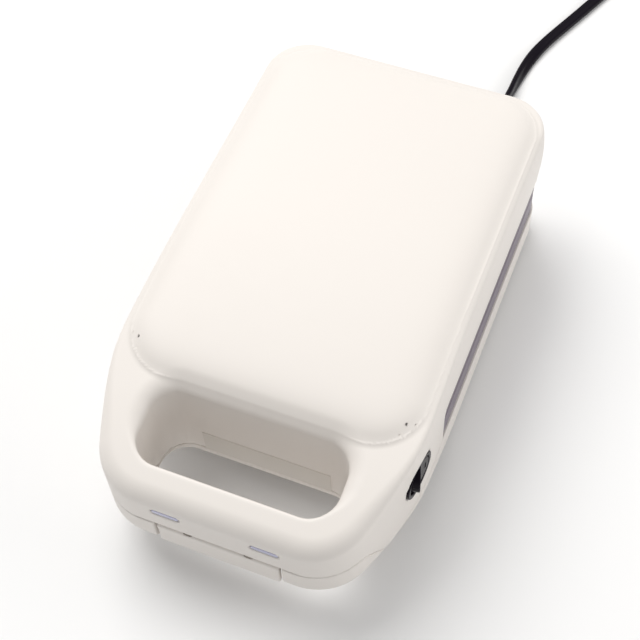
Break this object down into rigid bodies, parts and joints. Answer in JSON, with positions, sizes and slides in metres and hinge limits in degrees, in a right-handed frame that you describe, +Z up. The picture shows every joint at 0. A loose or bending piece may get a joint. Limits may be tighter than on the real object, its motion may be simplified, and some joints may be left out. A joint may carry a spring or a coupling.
{
  "type": "donut maker",
  "caption": "Compact hinged hot-plate appliance with ring moulds, a slotted carrying handle, a fold-up front latch, a round side switch and a flat mains lead.",
  "frame": {"origin": "on the table under the middle of the body, feet standing on z = 0", "axes": "+X to the user's right, -Y towards the handle and latch, +Y towards the hinge and cord, +Z up"},
  "size_m": [0.1362, 0.484, 0.085],
  "materials": {
    "cream_plastic": "satin moulded plastic with a fine texture",
    "frame_plastic": "satin heat-resistant plastic",
    "plate_coating": "speckled non-stick coating on cast aluminium",
    "steel": "plain zinc-plated steel",
    "element_sheath": "heat-darkened steel tube",
    "pan_steel": "thin aluminised steel sheet",
    "black_plastic": "semi-gloss moulded plastic",
    "lens": "translucent window",
    "board": "printed circuit board",
    "ceramic": "unglazed ceramic",
    "wire_sleeve": "braided glass-fibre sleeve",
    "rubber": "matt rubber",
    "label": "blank satin sticker",
    "cord_pvc": "flexible PVC",
    "brass": "nickel-tinted brass"
  },
  "bodies": {
    "base": {"lower_cover": "cream_plastic", "lower_handle_liner": "cream_plastic", "lower_plate_frame": "frame_plastic", "lower_donut_plate": "plate_coating", "lower_plate_catches": "steel", "lower_release_spring": "steel", "lower_heater": "element_sheath", "lower_heater_ends": "ceramic", "lower_heater_clamps": "steel", "lower_reflector": "pan_steel", "thermal_fuse": "ceramic", "terminal_block": "ceramic", "lower_hinge_leaf": "steel", "hinge_pins": "steel", "hinge_wire_sleeve": "rubber", "lower_screws": "steel", "lower_wiring": "wire_sleeve", "rubber_feet": "rubber", "blank_label": "label", "cord_clamp": "ceramic", "cord_relief": "cord_pvc", "power_cord": "cord_pvc", "cord_coil": "cord_pvc", "coil_tie": "wire_sleeve", "plug_body": "cord_pvc", "plug_blades": "brass"},
    "lid": {"upper_cover": "cream_plastic", "upper_handle_liner": "cream_plastic", "upper_plate_frame": "frame_plastic", "upper_donut_plate": "plate_coating", "upper_plate_catches": "steel", "upper_release_spring": "steel", "upper_heater": "element_sheath", "upper_heater_ends": "ceramic", "upper_heater_clamps": "steel", "upper_reflector": "pan_steel", "thermostat": "black_plastic", "upper_hinge_leaf": "steel", "upper_screws": "steel", "upper_wiring": "wire_sleeve", "indicator_windows": "lens", "indicator_board": "board", "switch_housing": "black_plastic", "switch_terminals": "brass", "latch_pin": "steel"},
    "latch": {"front_latch": "cream_plastic"},
    "rocker": {"switch_rocker": "black_plastic"},
    "upper_button": {"upper_release_button": "black_plastic"},
    "lower_button": {"lower_release_button": "black_plastic"}
  },
  "joints": [
    {"name": "lid_hinge", "type": "hinge", "parent": "base", "child": "lid", "pos_m": [0, 0.11, 0.0335], "axis": [-1, 0, 0], "range_deg": [0, 100]},
    {"name": "latch_hinge", "type": "hinge", "parent": "lid", "child": "latch", "pos_m": [0, -0.1154, 0.0344], "axis": [-1, 0, 0], "range_deg": [0, 80]},
    {"name": "rocker_tilt", "type": "hinge", "parent": "lid", "child": "rocker", "pos_m": [0.06251, -0.06264, 0.044], "axis": [0, 0, -1], "range_deg": [0, 22]},
    {"name": "upper_button_slide", "type": "slide", "parent": "lid", "child": "upper_button", "axis": [0, -1, 0], "range_m": [0, 0.003], "stiffness_N_per_m": 800, "springref_m": -0.002, "deforming": ["upper_release_spring"]},
    {"name": "lower_button_slide", "type": "slide", "parent": "base", "child": "lower_button", "axis": [0, -1, 0], "range_m": [0, 0.003], "stiffness_N_per_m": 800, "springref_m": -0.002, "deforming": ["lower_release_spring"]}
  ]
}
